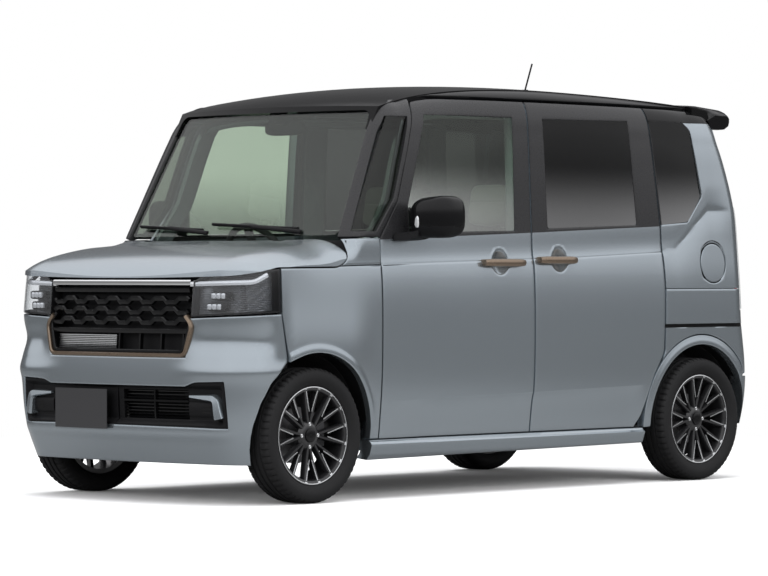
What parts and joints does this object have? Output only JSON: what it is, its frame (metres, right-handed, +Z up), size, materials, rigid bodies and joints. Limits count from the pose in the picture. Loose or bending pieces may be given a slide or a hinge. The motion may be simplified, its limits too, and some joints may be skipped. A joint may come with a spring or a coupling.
{
  "type": "kei car",
  "caption": "Tall boxy kei wagon: hollow cabin with seats and dashboard, hinged front doors, hood, tailgate and fuel lid, sliding rear doors shut, steered front wheels on knuckles.",
  "frame": {"origin": "on the ground under the middle of the car's length and width", "axes": "+X to the car's left, -Y forward, +Z up"},
  "size_m": [1.8306, 3.3972, 1.9288],
  "materials": {
    "body_paint": "metallic clear coat",
    "roof_paint": "gloss black",
    "clear_glass": "clear, slight green tint",
    "dark_glass": "dark privacy tint",
    "lamp_lens": "clear lens",
    "tail_lens": "red lens",
    "grille_black": "gloss black",
    "trim_black": "grained black",
    "bronze": "bronze satin",
    "interior": "grained dark grey",
    "seat_cloth": "woven light grey",
    "alloy": "black alloy with machined ring",
    "rubber": "matt rubber",
    "steel": "dark coated steel",
    "floor_coat": "dark underbody coating"
  },
  "bodies": {
    "body": {"antenna": "trim_black", "cowl": "trim_black", "dashboard": "interior", "engine": "steel", "exhaust": "steel", "front_bumper": "body_paint", "front_fenders": "body_paint", "front_seats": "seat_cloth", "front_subframe": "steel", "fuel_tank": "trim_black", "grille": "grille_black", "headlamps": "lamp_lens", "lower_grille": "trim_black", "quarter_glass": "dark_glass", "rear_axle": "steel", "rear_bumper": "body_paint", "rear_seat": "seat_cloth", "roof": "roof_paint", "side_frames": "body_paint", "slide_doors": "body_paint", "slide_glass": "dark_glass", "slide_handles": "bronze", "tail_lamps": "tail_lens", "underbody": "floor_coat", "windscreen": "clear_glass"},
    "hood": {"hood": "body_paint"},
    "door_left": {"door_left": "body_paint", "door_glass_left": "clear_glass", "mirror_left": "grille_black", "handle_left": "bronze"},
    "door_right": {"door_right": "body_paint", "door_glass_right": "clear_glass", "mirror_right": "grille_black", "handle_right": "bronze"},
    "tailgate": {"tailgate": "body_paint", "tailgate_glass": "dark_glass", "spoiler": "roof_paint"},
    "knuckle_left": {"knuckle_left": "steel"},
    "knuckle_right": {"knuckle_right": "steel"},
    "steering_wheel": {"steering_wheel": "interior"},
    "fuel_lid": {"fuel_lid": "body_paint"},
    "road_wheel_front_left": {"wheel_front_left": "alloy", "tyre_front_left": "rubber"},
    "road_wheel_front_right": {"wheel_front_right": "alloy", "tyre_front_right": "rubber"},
    "road_wheel_rear_left": {"wheel_rear_left": "alloy", "tyre_rear_left": "rubber"},
    "road_wheel_rear_right": {"wheel_rear_right": "alloy", "tyre_rear_right": "rubber"}
  },
  "joints": [
    {"name": "hood_hinge", "type": "hinge", "parent": "body", "child": "hood", "pos_m": [0, -1.1215, 1.073], "axis": [-1, 0, 0], "range_deg": [0, 55]},
    {"name": "door_left_hinge", "type": "hinge", "parent": "body", "child": "door_left", "pos_m": [0.7285, -0.8245, 0.665], "axis": [0, 0, -1], "range_deg": [0, 70]},
    {"name": "door_right_hinge", "type": "hinge", "parent": "body", "child": "door_right", "pos_m": [-0.7285, -0.8245, 0.665], "axis": [0, 0, 1], "range_deg": [0, 70]},
    {"name": "tailgate_hinge", "type": "hinge", "parent": "body", "child": "tailgate", "pos_m": [0, 1.3305, 1.733], "axis": [1, 0, 0], "range_deg": [0, 75]},
    {"name": "fuel_lid_hinge", "type": "hinge", "parent": "body", "child": "fuel_lid", "pos_m": [0.725, 1.3025, 0.998], "axis": [0, 0, -1], "range_deg": [0, 90]},
    {"name": "steer_left", "type": "hinge", "parent": "body", "child": "knuckle_left", "pos_m": [0.5785, -1.2375, 0.281], "axis": [0, 0, 1], "range_deg": [-33, 33]},
    {"name": "steer_right", "type": "hinge", "parent": "body", "child": "knuckle_right", "pos_m": [-0.5785, -1.2375, 0.281], "axis": [0, 0, 1], "range_deg": [-33, 33]},
    {"name": "steering_turn", "type": "hinge", "parent": "body", "child": "steering_wheel", "pos_m": [-0.335, -0.52, 1], "axis": [0, 0.9063, 0.4226], "range_deg": [-462, 462]},
    {"name": "front_left_spin", "type": "hinge", "parent": "knuckle_left", "child": "road_wheel_front_left", "pos_m": [0.6525, -1.2375, 0.281], "axis": [1, 0, 0], "continuous": true},
    {"name": "front_right_spin", "type": "hinge", "parent": "knuckle_right", "child": "road_wheel_front_right", "pos_m": [-0.6525, -1.2375, 0.281], "axis": [1, 0, 0], "continuous": true},
    {"name": "rear_left_spin", "type": "hinge", "parent": "body", "child": "road_wheel_rear_left", "pos_m": [0.6525, 1.2825, 0.281], "axis": [1, 0, 0], "continuous": true},
    {"name": "rear_right_spin", "type": "hinge", "parent": "body", "child": "road_wheel_rear_right", "pos_m": [-0.6525, 1.2825, 0.281], "axis": [1, 0, 0], "continuous": true}
  ],
  "couplings": [
    {"joint": "steer_right", "follows": "steer_left", "ratio": 1},
    {"joint": "steering_turn", "follows": "steer_left", "ratio": 14}
  ]
}
